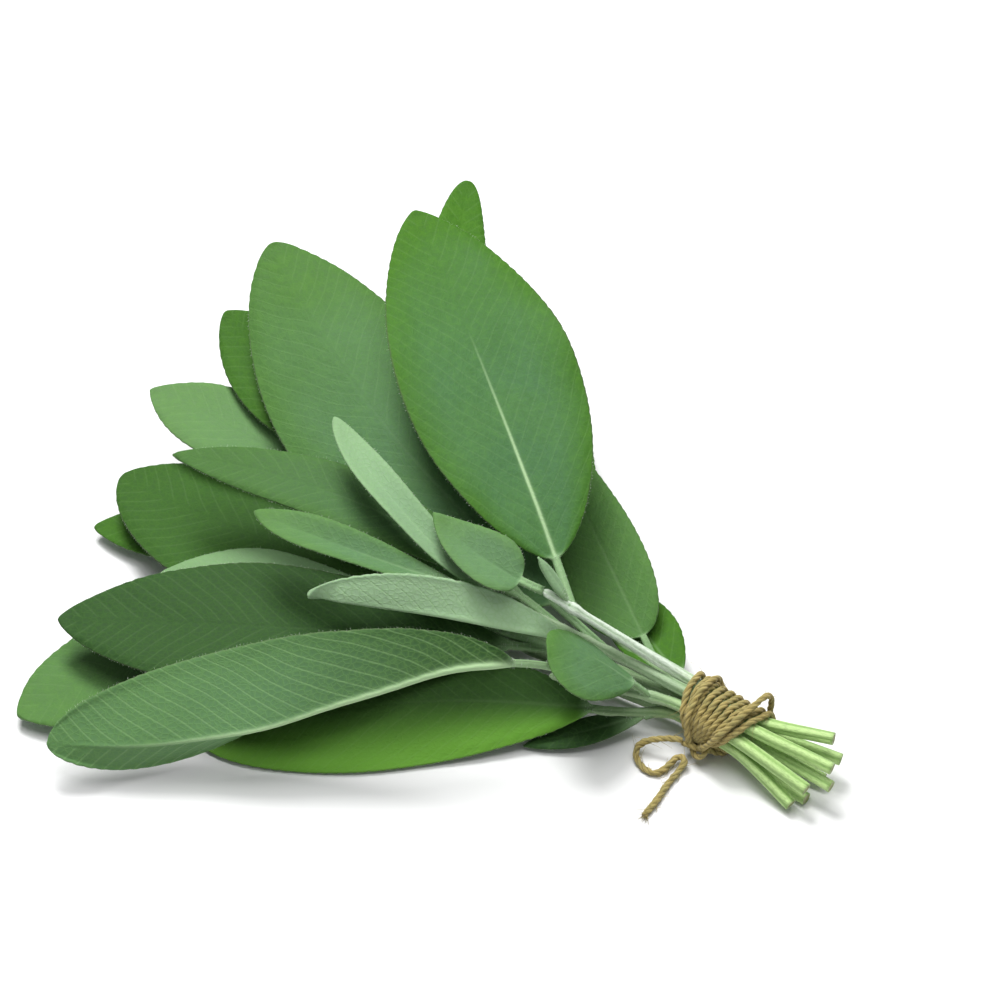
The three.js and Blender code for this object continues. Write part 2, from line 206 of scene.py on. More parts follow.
class Skins:
    """Closed skins over rings of points, gathered into one object."""

    def __init__(self, *marks):
        self.points = []
        self.faces = []
        self.finish = []
        self.marks = {name: [] for name in marks}
        self.count = 0

    def add(self, rings, finish=0, looped=False, **marks):
        """rings is rows x ring x 3, in millimetres from the tie."""
        rows, n, _ = rings.shape
        grid = np.arange(rows * n).reshape(rows, n) + self.count
        after = np.roll(grid, -1, axis=1)
        if looped:
            quads = np.stack([grid, after, np.roll(after, -1, 0), np.roll(grid, -1, 0)], -1)
        else:
            quads = np.stack([grid[:-1], after[:-1], after[1:], grid[1:]], -1)
        faces = quads.reshape(-1, 4).tolist()
        if not looped:
            faces += [grid[0, ::-1].tolist(), grid[-1].tolist()]
        self.faces += faces
        self.finish += [finish] * len(faces)
        self.points.append(in_frame(rings.reshape(-1, 3)))
        for name, kept in self.marks.items():
            kept.append(np.broadcast_to(marks.get(name, 0.0), (rows, n)).ravel())
        self.count += rows * n

    def add_spikes(self, feet, ends, thick, finish=0, **marks):
        """Fine three-sided spikes, for hairs: feet and ends are n x 3, in millimetres."""
        along = unit(ends - feet)
        side = unit(np.cross(along, (0.31, 0.52, 0.8)))[:, None]
        third = np.cross(along, side[:, 0])[:, None]
        corner = (np.arange(3) * 2 * np.pi / 3)[:, None]
        foot = feet[:, None] + thick * (np.cos(corner) * side + np.sin(corner) * third)
        first = self.count + 4 * np.arange(len(feet))[:, None]
        for corners in ((0, 1, 3), (1, 2, 3), (2, 0, 3), (2, 1, 0)):
            self.faces += (first + corners).tolist()
        self.finish += [finish] * (4 * len(feet))
        self.points.append(in_frame(np.concatenate([foot, ends[:, None]], 1).reshape(-1, 3)))
        for name, kept in self.marks.items():
            kept.append(np.broadcast_to(marks.get(name, 0.0), (len(feet), 4)).ravel())
        self.count += 4 * len(feet)

    def make(self, name, *materials):
        mesh = bpy.data.meshes.new(name)
        mesh.from_pydata(np.concatenate(self.points), [], self.faces)
        for material in materials:
            mesh.materials.append(material)
        mesh.polygons.foreach_set("material_index", self.finish)
        mesh.polygons.foreach_set("use_smooth", [True] * len(self.faces))
        for mark, kept in self.marks.items():
            values = np.concatenate(kept).astype(np.float32)
            mesh.attributes.new(mark, "FLOAT", "POINT").data.foreach_set("value", values)
        piece = bpy.data.objects.new(name, mesh)
        bpy.context.scene.collection.objects.link(piece)
        triangles = sum(len(face) - 2 for face in self.faces)
        print(f"{name}: {triangles} triangles")
        return piece


# %% [markdown]
# ## Rings round a path
#
# A stem or a strand is a row of rings round its path. Turning each ring to a fixed upward direction
# would twist the skin where the path runs straight up. Carrying the first ring's direction along the
# path, and taking out only what no longer stands square to it, keeps the skin free of twist.

# %% Rings


def carried_sides(path, looped=False):
    """Two directions across a path at each point, carried along it without twist."""
    along = unit(np.gradient(path, axis=0))
    if looped:
        along = unit(np.roll(path, -1, 0) - np.roll(path, 1, 0))
    first = np.zeros_like(path)
    side = unit(np.cross(along[0], (0.3, 0.2, 1.0)))
    for i, direction in enumerate(along):
        side = unit(side - direction * (side @ direction))
        first[i] = side
    return first, np.cross(along, first)


def tube(path, reach, looped=False):
    """Rings round a path. reach is the radius at each point of each ring: rows x ring."""
    first, second = carried_sides(path, looped)
    n = reach.shape[1]
    angle = np.arange(n) * 2 * np.pi / n
    spin = np.zeros(len(path))
    if looped:
        missed = np.arctan2((first[0] * second[-1]).sum(), (first[0] * first[-1]).sum())
        spin = np.linspace(0, missed, len(path))
    across = angle[None, :] + spin[:, None]
    return path[:, None] + reach[..., None] * (np.cos(across)[..., None] * first[:, None]
                                               + np.sin(across)[..., None] * second[:, None])


# %% [markdown]
# ## Shader maths as expressions
#
# A material that follows veins needs dozens of Math nodes, and placing them one call at a time hides
# the formula. Wrapping a socket in a class that knows +, -, * and the rest lets the formula stand as
# it is. The same formula then works on plain arrays, so a vein's groove in the mesh and its pale
# line in the colour come from one function.

# %% The socket wrapper


class Wire:
    """An output socket that can be used in sums."""

    def __init__(self, finish, socket):
        self.finish = finish
        self.socket = socket

    def _math(self, operation, *values):
        sockets = dict(enumerate(values))
        return self.finish.node("ShaderNodeMath", {"operation": operation}, sockets)

    def __add__(self, other):
        return self._math("ADD", self, other)

    def __radd__(self, other):
        return self._math("ADD", other, self)

    def __sub__(self, other):
        return self._math("SUBTRACT", self, other)

    def __rsub__(self, other):
        return self._math("SUBTRACT", other, self)

    def __mul__(self, other):
        return self._math("MULTIPLY", self, other)

    def __rmul__(self, other):
        return self._math("MULTIPLY", other, self)

    def __truediv__(self, other):
        return self._math("DIVIDE", self, other)

    def __rtruediv__(self, other):
        return self._math("DIVIDE", other, self)

    def __pow__(self, other):
        return self._math("POWER", self, other)

    def __mod__(self, other):
        return self._math("FLOORED_MODULO", self, other)

    def __abs__(self):
        return self._math("ABSOLUTE", self)


# %% [markdown]
# ## One method for every other node
#
# Colours, noise and ramps aren't sums, so they need nodes of their own kinds. One method makes any
# node from its type, its settings and its sockets. The short methods after it only name the few kinds
# that the bunch needs, so that a finish reads from top to bottom like a recipe.

# %% The material maker


class Finish:
    """A material being made: its nodes come from one method."""

    def __init__(self, name, **constants):
        self.material = bpy.data.materials.new(name)
        self.material.use_nodes = True
        self.tree = self.material.node_tree
        self.shader = self.tree.nodes["Principled BSDF"]
        for socket, value in constants.items():
            self.shader.inputs[socket.replace("_", " ")].default_value = value

    def node(self, kind, settings=(), sockets=(), output=0):
        made = self.tree.nodes.new(kind)
        for name, value in dict(settings).items():
            if name == "stops":
                self._set_stops(made.color_ramp, value)
            else:
                setattr(made, name, value)
        for name, value in dict(sockets).items():
            self._join(made.inputs[name], value)
        return Wire(self, made.outputs[output])

    def _join(self, target, value):
        if isinstance(value, Wire):
            self.tree.links.new(value.socket, target)
        else:
            target.default_value = value

    @staticmethod
    def _set_stops(ramp, stops):
        while len(ramp.elements) < len(stops):
            ramp.elements.new(0.5)
        for element, (place, value) in zip(ramp.elements, stops):
            element.position = place
            element.color = (value, value, value, 1)

    def mark(self, name):
        return self.node("ShaderNodeAttribute", {"attribute_name": name}, output="Fac")

    def blend(self, share, a, b):
        """Colour a where share is 0, and b where it is 1."""
        return self.node("ShaderNodeMix", {"data_type": "RGBA", "clamp_factor": True},
                         {0: share, 6: a, 7: b}, output=2)

    def ramp(self, value, *stops):
        return self.node("ShaderNodeValToRGB", {"stops": stops}, {0: value})

    def place(self, x, y, z):
        return self.node("ShaderNodeCombineXYZ", sockets={0: x, 1: y, 2: z})

    def noise(self, vector, scale, detail=2.0):
        return self.node("ShaderNodeTexNoise", sockets={
            "Vector": vector, "Scale": scale, "Detail": detail})

    def surface(self, colour, roughness, height, depth):
        """height goes from 0 to 1 and stands for a relief of depth metres."""
        normal = self.node("ShaderNodeBump", sockets={"Distance": depth, "Height": height})
        self._join(self.shader.inputs["Base Color"], colour)
        self._join(self.shader.inputs["Roughness"], roughness)
        self._join(self.shader.inputs["Normal"], normal)
        print(f"{self.material.name}: {len(self.tree.nodes)} nodes")
        return self.material


def shade(red, green, blue):
    """A colour from its screen values, 0 to 255, as the linear light that shaders add up."""
    part = np.array([red, green, blue]) / 255
    linear = np.where(part <= 0.04045, part / 12.92, ((part + 0.055) / 1.055) ** 2.4)
    return (*linear.tolist(), 1.0)


# %% [markdown]
# ## Jute twine
#
# Jute twine is three yarns laid round each other. Seen close, it shows slanting bumps with dark
# lines between, and fine fibres along each yarn. It could be three separate helices, but one tube
# whose section has three lobes that turn as they go looks the same with a third of the points.

# %% Strands and their finish
LAY_MM = 5.2
YARNS = 3
RING_POINTS = 24
STRAND_STEP = 0.32
rng = np.random.default_rng(7)


def strand(skins, path, across, looped=False):
    """Adds a laid strand along a path to skins."""
    path = even_steps(path, STRAND_STEP)
    if looped:
        path = path[:-1]
    length = np.linalg.norm(np.diff(path, axis=0), axis=1).sum()
    lays = max(round(length / LAY_MM), 1)
    share = np.linspace(0, 1, len(path), endpoint=not looped)
    angle = np.arange(RING_POINTS) * 2 * np.pi / RING_POINTS
    phase = YARNS * (angle[None, :] - 2 * np.pi * lays * share[:, None])
    crest = np.abs(np.cos(phase / 2))
    lumps = sum(0.05 * np.sin(2 * np.pi * n * share + rng.uniform(0, 6)) for n in (3, 7, 12))
    frays = 0.02 * np.sin(phase * 5 + 4 * np.sin(share * lays * 9)[:, None])
    reach = across / 2 * (0.72 + 0.26 * crest + frays) * (1 + lumps)[:, None]
    rings = tube(path, reach, looped)
    skins.add(rings, looped=looped, crest=crest, wind_mm=(share * length)[:, None],
              around=phase / (2 * np.pi) + 0 * crest)


def jute(name):
    """Straw-coloured fibre gone a little green, with painted shade between the yarns."""
    f = Finish(name, Sheen_Weight=0.15, Sheen_Roughness=0.5, Specular_IOR_Level=0.2)
    crest = f.mark("crest")
    fibre = f.noise(f.place(f.mark("wind_mm") * 0.7, f.mark("around") * 9, crest * 2), 1.0, 3.0)
    patch = f.noise(f.place(f.mark("wind_mm"), f.mark("around") * 0.4, 3.0), 0.45)
    straw = f.blend(f.ramp(fibre, (0.3, 0), (0.7, 1)), shade(124, 110, 54), shade(190, 172, 112))
    faded = f.blend(f.ramp(patch, (0.35, 0), (0.7, 0.6)), straw, shade(146, 142, 92))
    # Painted shade: the grooves between the yarns are darkened to a dark brown.
    colour = f.blend(f.ramp(crest, (0.0, 0.8), (0.45, 0.0)), faded, shade(66, 52, 28))
    return f.surface(colour, 0.92 - 0.1 * fibre, 0.6 * crest + 0.4 * fibre, 0.15 * MM)


TWINE_FINISH = jute("jute_twine")

# %% [markdown]
# ## The loop and tail of the bow
#
# The knot's free end makes one small loop and a tail, both limp, so they drop to the table within a
# few millimetres. A simulation could drop them, but so short a piece is quicker to lay by points.

# %% The bow
bow_path = even_steps(route(BOW, np.linspace(0, 1, 400)), STRAND_STEP)
bow_skins = Skins("crest", "wind_mm", "around")
strand(bow_skins, bow_path, TWINE)
bow = bow_skins.make("bow_loop_and_tail", TWINE_FINISH)
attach(bow, "root")
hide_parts("twine_bow")

# %% [markdown]
# ## The leaves' sizes
#
# A leaf is set by where it grows, where it points, how long and wide it is, and how it rolls, folds
# and arches. These are the same values that the solids were made from. The extra ones are for
# colour: vivid runs from a grey-green to a bright yellow-green, and below 0 it holds the brightness
# back to the rim. Pale is the woolly white-green of a young leaf, and rib says how pale the midrib
# is. The column fresh is painted light: a clear light green for a leaf that
# should catch more light. The column deep darkens a leaf, partly a darker
# green of its own and partly painted shade under the leaves above. Painted shade also darkens the
# root only, by painted_root_shade, and the half that another leaf covers, by painted_side_shade. One
# formula could not give 25 different leaves, so each has its own row, and what a row leaves out
# comes from the defaults.

# %% The leaves
LEAF_DEFAULTS = dict(roll=0, twist=0, fold=12, fold_tip=None, arch=0, peak=0.5, sway=0, wave=0,
                     near=1, vivid=0.5, pale=0.0, fresh=0.0, deep=0.0, painted_root_shade=0.0,
                     painted_side_shade=0.0, rib=0.15)
LEAVES = {
    "tall": dict(stem="top", at=0.85, heading=-28, rise=19, length=96.5, width=37,
        widest=0.47, blunt=0.68, petiole=0.11, roll=-4, fold=8, arch=4.5, wave=0.8, vivid=0.1,
        rib=0.8),
    "young_heart": dict(stem="top", at=1, heading=10, rise=19, length=27, width=13,
        widest=0.3, blunt=0.75, petiole=0.18, roll=-10, fold=25, sway=2, vivid=0.1, pale=0.2,
        rib=0.03),
    "shoot": dict(stem="top", at=0.85, heading=18, rise=57, length=14, width=3, widest=0.5,
        blunt=0.75, petiole=0.12, fold=40, pale=0.7),
    "blunt_top": dict(stem="front", at=0.2, heading=38, rise=36, length=26.5, width=21,
        widest=0.62, blunt=0.45, petiole=0.2, roll=4, fold=-8, arch=1.5, near=0.6, vivid=-0.5,
        pale=0.1),
    "pale_hood": dict(stem="centre", at=0.62, heading=41, rise=14, length=57, width=17.5,
        widest=0.56, blunt=0.55, petiole=0.06, roll=64, twist=10, fold=65, fold_tip=50,
        arch=2.5, peak=0.43, sway=2, vivid=0.1, pale=1.05),
    "pale_narrow": dict(stem="centre", at=0.92, heading=-3, rise=23, length=50, width=9,
        widest=0.52, blunt=0.57, petiole=0.06, fold=45, arch=2.5, sway=4.5, vivid=0,
        pale=0.6),
    "pale_lance": dict(stem="centre", at=0.96, heading=24, rise=10, length=49.5, width=9.5,
        widest=0.61, blunt=0.63, petiole=0.09, roll=-10, fold=40, arch=2, sway=3, vivid=0,
        pale=0.15),
    "long_left": dict(stem="centre", at=0.7, heading=15, rise=7, length=90, width=14,
        widest=0.56, blunt=0.68, petiole=0.09, roll=-10, fold=8, arch=6, sway=-3.5, wave=0.3,
        vivid=0.3, pale=0.1, deep=0.38),
    "broad_back": dict(stem="centre", at=0.52, heading=-12, rise=13, length=121, width=39.5,
        widest=0.51, blunt=0.6, petiole=0.12, roll=-17, fold=-9, arch=4, peak=0.4, sway=8.5,
        wave=0.6, vivid=0.05, pale=0.08, deep=0.12, rib=0.08),
    # Painted shade darkens its root, under the pale hood.
    "folded_front": dict(stem="front", at=0.62, heading=48, rise=-1.2, length=111, width=35,
        widest=0.56, blunt=0.53, petiole=0.16, roll=64, twist=74, fold=76, fold_tip=5,
        arch=14.5, peak=0.25, sway=6, near=0.5, vivid=0.1, painted_root_shade=1.0, rib=0.85),
    # Painted light lightens this leaf, and painted shade darkens the half under the folded front
    # leaf.
    "lowest_front": dict(stem="front_low", at=0.81, heading=43, rise=-4, length=83, width=29,
        widest=0.59, blunt=0.5, petiole=0.04, roll=-22, fold=-5, arch=3, sway=-3.5, wave=0.3,
        vivid=0.8, fresh=0.7, painted_side_shade=0.9, rib=0.05),
    # Its dark green is painted shade, under the leaves above it.
    "small_front": dict(stem="front_low", at=0.17, heading=52, rise=-10, length=28.5,
        width=6.5, widest=0.5, blunt=0.76, petiole=0.1, roll=-10, fold=5, vivid=1, deep=1.0),
    "light_left": dict(stem="middle", at=0.87, heading=-1, rise=4, length=86, width=18.5,
        widest=0.74, blunt=0.74, petiole=0.11, roll=-6, fold=8, arch=1.5, sway=-5, pale=0.2),
    # Much of its dark green is painted shade, under the long left leaf.
    "wide_left": dict(stem="middle", at=0.74, heading=12, rise=-1, length=95, width=31.5,
        widest=0.61, blunt=0.58, petiole=0.09, roll=-8, fold=0, arch=1.5, sway=3.5, wave=0.4,
        vivid=0.8, deep=0.55, rib=0.05),
    # Much of its dark green is painted shade, under the pale hood and lance.
    "wide_front": dict(stem="middle", at=0.62, heading=38, rise=2, length=104, width=30,
        widest=0.57, blunt=0.68, petiole=0.1, roll=-10, fold=4, arch=4, sway=2, vivid=0.75,
        deep=0.92, rib=0.05),
    "pale_rim": dict(stem="middle", at=0.6, heading=27, rise=1, length=88.5, width=18,
        widest=0.72, blunt=0.87, petiole=0.16, roll=-5, fold=4, arch=4.5, sway=0.5, vivid=0.3,
        pale=0.45),
    "right_curve": dict(stem="back", at=0.3, heading=-28, rise=12, length=68, width=23,
        widest=0.3, blunt=0.84, petiole=0.12, roll=-16, twist=-2, fold=10, arch=4, sway=2,
        near=0.7, vivid=0.8, pale=0.1, rib=0.1),
    "right_small": dict(stem="back", at=0.08, heading=-23, rise=2, length=29, width=14,
        widest=0.5, blunt=0.62, petiole=0.07, roll=-5, fold=8, arch=1, sway=1.5, vivid=1),
    "back_outer": dict(stem="back_low", at=1, heading=-32, rise=4, length=86, width=18,
        widest=0.55, blunt=0.68, petiole=0.13, roll=8, fold=10, arch=7, peak=0.36, wave=0.3,
        vivid=0.7),
    "back_inner": dict(stem="back_low", at=0.6, heading=-24, rise=-1, length=99, width=22,
        widest=0.5, blunt=0.68, petiole=0.12, roll=-6, fold=10, arch=3, sway=0.5, vivid=0.6),
    "dark_left": dict(stem="back", at=0.94, heading=0, rise=9, length=86.5, width=24.5,
        widest=0.62, blunt=0.67, petiole=0.12, roll=-17, twist=-2, fold=3, arch=6.5,
        peak=0.32, sway=5, vivid=0.9, deep=0.28),
    "back_tip": dict(stem="back", at=1, heading=-43, rise=13, length=90, width=15,
        widest=0.44, blunt=0.42, petiole=0.12, roll=11, twist=-2, fold=8, arch=7.5, peak=0.34,
        sway=6, vivid=0.9),
    "low_left": dict(stem="bottom", at=0.93, heading=21, rise=-1, length=87, width=18.5,
        widest=0.67, blunt=0.67, petiole=0.12, fold=6, arch=1, sway=-6, vivid=0.8, deep=0.2),
    "corner": dict(stem="bottom", at=1, heading=58, rise=-1, length=92, width=27, widest=0.71,
        blunt=0.7, petiole=0.12, fold=6, arch=2, sway=-6, wave=0.4, vivid=0.2, pale=0.12),
    "under_back": dict(stem="bottom", at=0.78, heading=-32, rise=-2, length=75, width=24,
        widest=0.6, blunt=0.65, petiole=0.13, fold=6, arch=2.5, vivid=0.6),
}
print("leaves:", len(LEAVES))

# %% [markdown]
# ## The veins
#
# Side veins leave the midrib every few millimetres and bend forward as they go out, never quite
# evenly. They could be drawn one by one, but counting them is shorter: each point gets one number
# that is whole on a vein. The mesh lowers the blade along whole numbers, and the count is kept as a
# mark, so the finish draws its lines in the same places.

# %% Vein formulas
VEIN_STEP = 3.9
VEIN_LEAN = 1.1
VEIN_BEND = 0.012
VEIN_ACROSS = 0.67


def vein_count(run, beside, draw):
    """Side veins passed since the leaf's root, as a number that is whole on a vein."""
    out = np.abs(beside)
    other = np.where(beside < 0, draw.uniform(1, 5), 0)
    count = (run - VEIN_LEAN * out - VEIN_BEND * out * out) / VEIN_STEP + other
    slow = 0.3 * np.sin(run / 6.5 + draw.uniform(0, 6) + other)
    return count + slow + 0.06 * np.sin(out / 2.1 + run / 4 + draw.uniform(0, 6))


def to_vein(count):
    """Millimetres to the nearest side vein, for arrays and for wires."""
    return abs((count + 0.5) % 1 - 0.5) * (VEIN_STEP * VEIN_ACROSS)


def line(distance, width):
    """1 on a line, falling to 0 beyond its width, for arrays and for wires."""
    return 1 / (1 + (distance / width) ** 4)


print("a tenth of the way between two veins is", round(to_vein(0.1), 2), "mm off")

# %% [markdown]
# ## The line and the width of a leaf
#
# A sage leaf hangs on its midrib, which arches up and sways to one side, and rolls about itself on
# the way to the tip. Its outline is an even swelling from stalk to tip. It could be drawn as a flat
# outline and bent by a lattice, but with the bend in the formula a leaf's row of values also says
# where its tip lands.

# %% The leaf's line
PETIOLE = 1.8
TIP = 0.5


def on_stem(stem, at):
    """A stem's point at a share of the way from the tie to its top."""
    spans = len(STEMS[stem]) - 1
    return stem_route(stem, (spans - 2 + 2 * at) / spans)


def midrib(leaf, u):
    """Middle line, the direction across the blade and the one out of its upper face."""
    heading, rise = np.radians(leaf["heading"]), np.radians(leaf["rise"])
    chord = np.array([np.cos(rise) * np.cos(heading), np.cos(rise) * np.sin(heading), np.sin(rise)])
    side = np.array([-np.sin(heading), np.cos(heading), 0.0])
    over = np.cross(chord, side)
    late = (1 - leaf["peak"]) / leaf["peak"]
    height = leaf["peak"] * (1 - leaf["peak"]) ** late
    bow_up = u * (1 - u) ** late / height
    slope = ((1 - u) ** late - late * u * np.maximum(1 - u, 1e-6) ** (late - 1)) / height
    middle = (on_stem(leaf["stem"], leaf["at"]) + np.outer(u * leaf["length"], chord)
              + np.outer(leaf["arch"] * bow_up, over)
              + np.outer(leaf["sway"] * 4 * u * (1 - u), side))
    along = unit(chord * leaf["length"] + np.outer(leaf["arch"] * slope, over)
                 + np.outer(leaf["sway"] * 4 * (1 - 2 * u), side))
    roll = np.radians(leaf["roll"] + leaf["twist"] * u * u)[:, None]
    across = side * np.cos(roll) + over * np.sin(roll)
    across = unit(across - along * (across * along).sum(1, keepdims=True))
    return middle, across, np.cross(along, across)


def half_width(leaf, u):
    """Share of the blade passed, and half the leaf's width there."""
    t = np.clip((u - leaf["petiole"]) / (1 - leaf["petiole"]), 0, 1)
    lean = np.log(0.5) / np.log(leaf["widest"])
    half = leaf["width"] / 2 * np.abs(np.sin(np.pi * t ** lean)) ** leaf["blunt"]
    least = np.where(u <= leaf["petiole"] + 0.02, PETIOLE / 2, TIP / 2)
    return t, np.maximum(half, least)


tall_half = half_width({**LEAF_DEFAULTS, **LEAVES["tall"]}, np.linspace(0, 1, 200))[1]
print("the tall leaf is", round(2 * tall_half.max(), 1), "mm wide")

# %% [markdown]
# ## The middle sheet of a leaf
#
# The blade folds up from the midrib a little, like an open book. On it lie the side veins, the slow
# swell of the surface and the fine round teeth of the edge. Sculpting would give one leaf these. A
# sheet of points worked out from distances gives them to all 25, each with its own random swells.

# %% The leaf's sheet
ROW_STEP = 0.62
STALK_ROW_STEP = 1.2
COLUMN_STEP = 0.8
CROWDING = 0.11
CREASE = 0.9
SIDE_RELIEF = 0.11
SWELL = (0.05, 0.13)
RIPPLES = 2.2
RIM_ROLL = 0.45
RIM_ROLL_FROM = 0.72
TOOTH_STEP = 2.1
TOOTH = 0.16
LEAST_HEIGHT = 0.4
EASE = 2


def leaf_grid(leaf):
    """Shares along the leaf and across it, closer together at the ends, edges and midrib."""
    stalk_rows = max(int(leaf["petiole"] * leaf["length"] / STALK_ROW_STEP), 4)
    blade_rows = max(int((1 - leaf["petiole"]) * leaf["length"] / ROW_STEP), 20)
    even = np.linspace(0, 1, blade_rows + 1)
    blade = mix(even, (1 - np.cos(np.pi * even)) / 2, 0.5)
    u = np.concatenate([np.linspace(0, leaf["petiole"], stalk_rows, endpoint=False),
                        mix(leaf["petiole"], 1, blade)])
    columns = 5 + int(leaf["width"] / 2 / COLUMN_STEP)
    x = np.linspace(-1, 1, 2 * columns + 1)
    return u, x - CROWDING * np.sin(2 * np.pi * x)


def leaf_sheet(leaf, u, v, seed):
    """The blade's middle sheet with its veins and swells, and the marks for its finish.

    Where it would run into the table it eases off just above it, as a resting leaf does.
    """
    middle, across, out = midrib(leaf, u)
    t, half = half_width(leaf, u)
    fold_tip = leaf["fold"] / 2 if leaf["fold_tip"] is None else leaf["fold_tip"]
    lift = np.radians(mix(leaf["fold"], fold_tip, t * t)) * np.clip((half - 1) / 4, 0, 1)
    beside = half[:, None] * np.where(v < 0, v * leaf["near"], v)[None, :]
    run = (u - leaf["petiole"])[:, None] * leaf["length"] + 0 * beside
    broad = smooth((half - 2) / 4)[:, None]
    tooth = TOOTH * np.abs(np.sin(np.pi * run / TOOTH_STEP)) * np.abs(v) ** 14 * broad
    reach = beside + np.sign(v) * tooth
    crease = np.minimum(CREASE, half / 3)[:, None]
    raised = np.sqrt(reach ** 2 + crease ** 2) - crease
    draw = np.random.default_rng(seed)
    swell = sum(draw.uniform(*SWELL) * np.sin(run / draw.uniform(3, 9) + draw.uniform(0, 6)
                                              + beside / draw.uniform(2, 6)) for _ in range(4))
    veins = vein_count(run, beside, draw)
    grooves = line(to_vein(veins), 0.6) * smooth(np.abs(beside) / 1.2)
    ripple = leaf["wave"] * np.sin(2 * np.pi * RIPPLES * t) * np.sin(np.pi * t)
    rolled = smooth((np.abs(v) - RIM_ROLL_FROM) / (1 - RIM_ROLL_FROM)) ** 2 * RIM_ROLL
    height = (raised * np.sin(lift)[:, None] + ripple[:, None] * v ** 2
              + broad * (swell - SIDE_RELIEF * grooves - rolled))
    sheet = (middle[:, None] + (reach * np.cos(lift)[:, None])[..., None] * across[:, None]
             + height[..., None] * out[:, None])
    z = sheet[..., 2]
    eased_from = LEAST_HEIGHT + EASE
    eased = LEAST_HEIGHT + EASE * np.exp((z - eased_from) / EASE)
    sheet[..., 2] = np.where(z < eased_from, eased, z)
    return sheet, out, dict(t=t, half=half, lift=lift, beside=beside, run=run, veins=veins)


def sheet_normals(sheet, out, half):
    """The sheet's own normals, or the midrib frame's where the blade is too narrow for them."""
    direct = np.cross(np.gradient(sheet, axis=0), np.gradient(sheet, axis=1))
    direct = unit(direct)
    frame_out = np.broadcast_to(out[:, None], sheet.shape)
    direct = np.where((direct * frame_out).sum(-1, keepdims=True) < 0, -direct, direct)
    share = smooth((half - 0.8) / 1.5)[:, None, None]
    return unit(mix(frame_out, direct, share))


# %% [markdown]
# ## Two faces round the sheet
#
# A fresh sage leaf is about half a millimetre thick, thinner at the rim, and its midrib swells the
# underside. The stalk is nearly round, with a channel on top. Both faces are set off from the sheet
# along its normals. A solidify modifier could thicken it, but then the stalk could not turn round.

# %% The leaf's two faces
BLADE_HALF = 0.24
RIM = 0.45
RIB_HEIGHT = 0.8


def face_offsets(marks, v):
    """How far the upper and lower face stand off the sheet."""
    half = marks["half"][:, None]
    t = marks["t"][:, None]
    stalk = 1 - smooth((half - PETIOLE / 2) / 2.2)
    edge = half * (1 - np.abs(v))[None, :]
    rim = np.sqrt(1 - (1 - np.clip(edge / RIM, 0, 1)) ** 2)
    round_off = np.sqrt(np.clip(1 - v ** 2, 0, 1))[None, :]
    girth = np.minimum(half, PETIOLE / 2) / (PETIOLE / 2)
    beside = np.abs(marks["beside"])
    taper = (1 - 0.75 * t) * smooth((1 - t) / 0.12)
    rib = RIB_HEIGHT * taper * np.exp(-(beside / (0.35 + 0.45 * taper)) ** 2)
    channel = 0.3 * np.exp(-(beside / 0.4) ** 2) * taper
    top = mix(BLADE_HALF * rim - channel * 0.6, (0.7 * round_off - channel) * girth, stalk)
    bottom = mix(BLADE_HALF * rim + rib, 0.95 * round_off * girth, stalk)
    return top, bottom, stalk


print("a blade is", 2 * BLADE_HALF, "mm thick, and its midrib adds up to", RIB_HEIGHT)

# %% [markdown]
# ## Down
#
# Short white hairs stand on stems, leaf stalks and leaf rims, and catch the light along the edges. A
# hair system would make them faster, but an export would drop it, so they are thin spikes of mesh.

# %% Hairs
HAIR_LENGTH = (0.2, 0.45)
HAIR_HALF = 0.022
HAIR_ROOT = 0.06
HAIR_DRIFT = 0.12
HAIR_SLOT = 2
OFF_TABLE = 0.03


def down(skins, surface, outward, hairs, draw):
    """Fine white hairs at random places on rows of surface points."""
    rows, n, _ = surface.shape
    row, place = draw.integers(0, rows, hairs), draw.integers(0, n, hairs)
    feet = surface[row, place]
    drift = draw.normal(0, HAIR_DRIFT, (hairs, 3))
    reach = draw.uniform(*HAIR_LENGTH, (hairs, 1))
    ends = feet + outward[row, place] * reach + drift
    ends[:, 2] = np.maximum(ends[:, 2], OFF_TABLE)
    skins.add_spikes(feet - HAIR_ROOT * outward[row, place], ends, HAIR_HALF, finish=HAIR_SLOT)


print("hairs are", HAIR_LENGTH[0], "to", HAIR_LENGTH[1], "mm long")

# %% [markdown]
# ## One whole leaf
#
# The ring for each row runs over the upper face and back along the underside. The two share their
# rim points, so the leaf is one closed skin. Each point carries its marks, among them how deep its
# green is with the painted shade at its root and on a covered half added in, and how much painted
# light it takes, so the finish needs no picture to know where it is.

# %% A leaf
HAIRS_PER_STALK_ROW = 22
HAIRS_PER_RIM_ROW = 2.2
# How far from the root the painted shade reaches.
PAINTED_ROOT_SHADE_SHARE = 0.65
# How far across the leaf the painted shade on a covered half reaches.
PAINTED_SIDE_SHADE_REACH = 0.85
WOOLLY_SHARE = 0.3


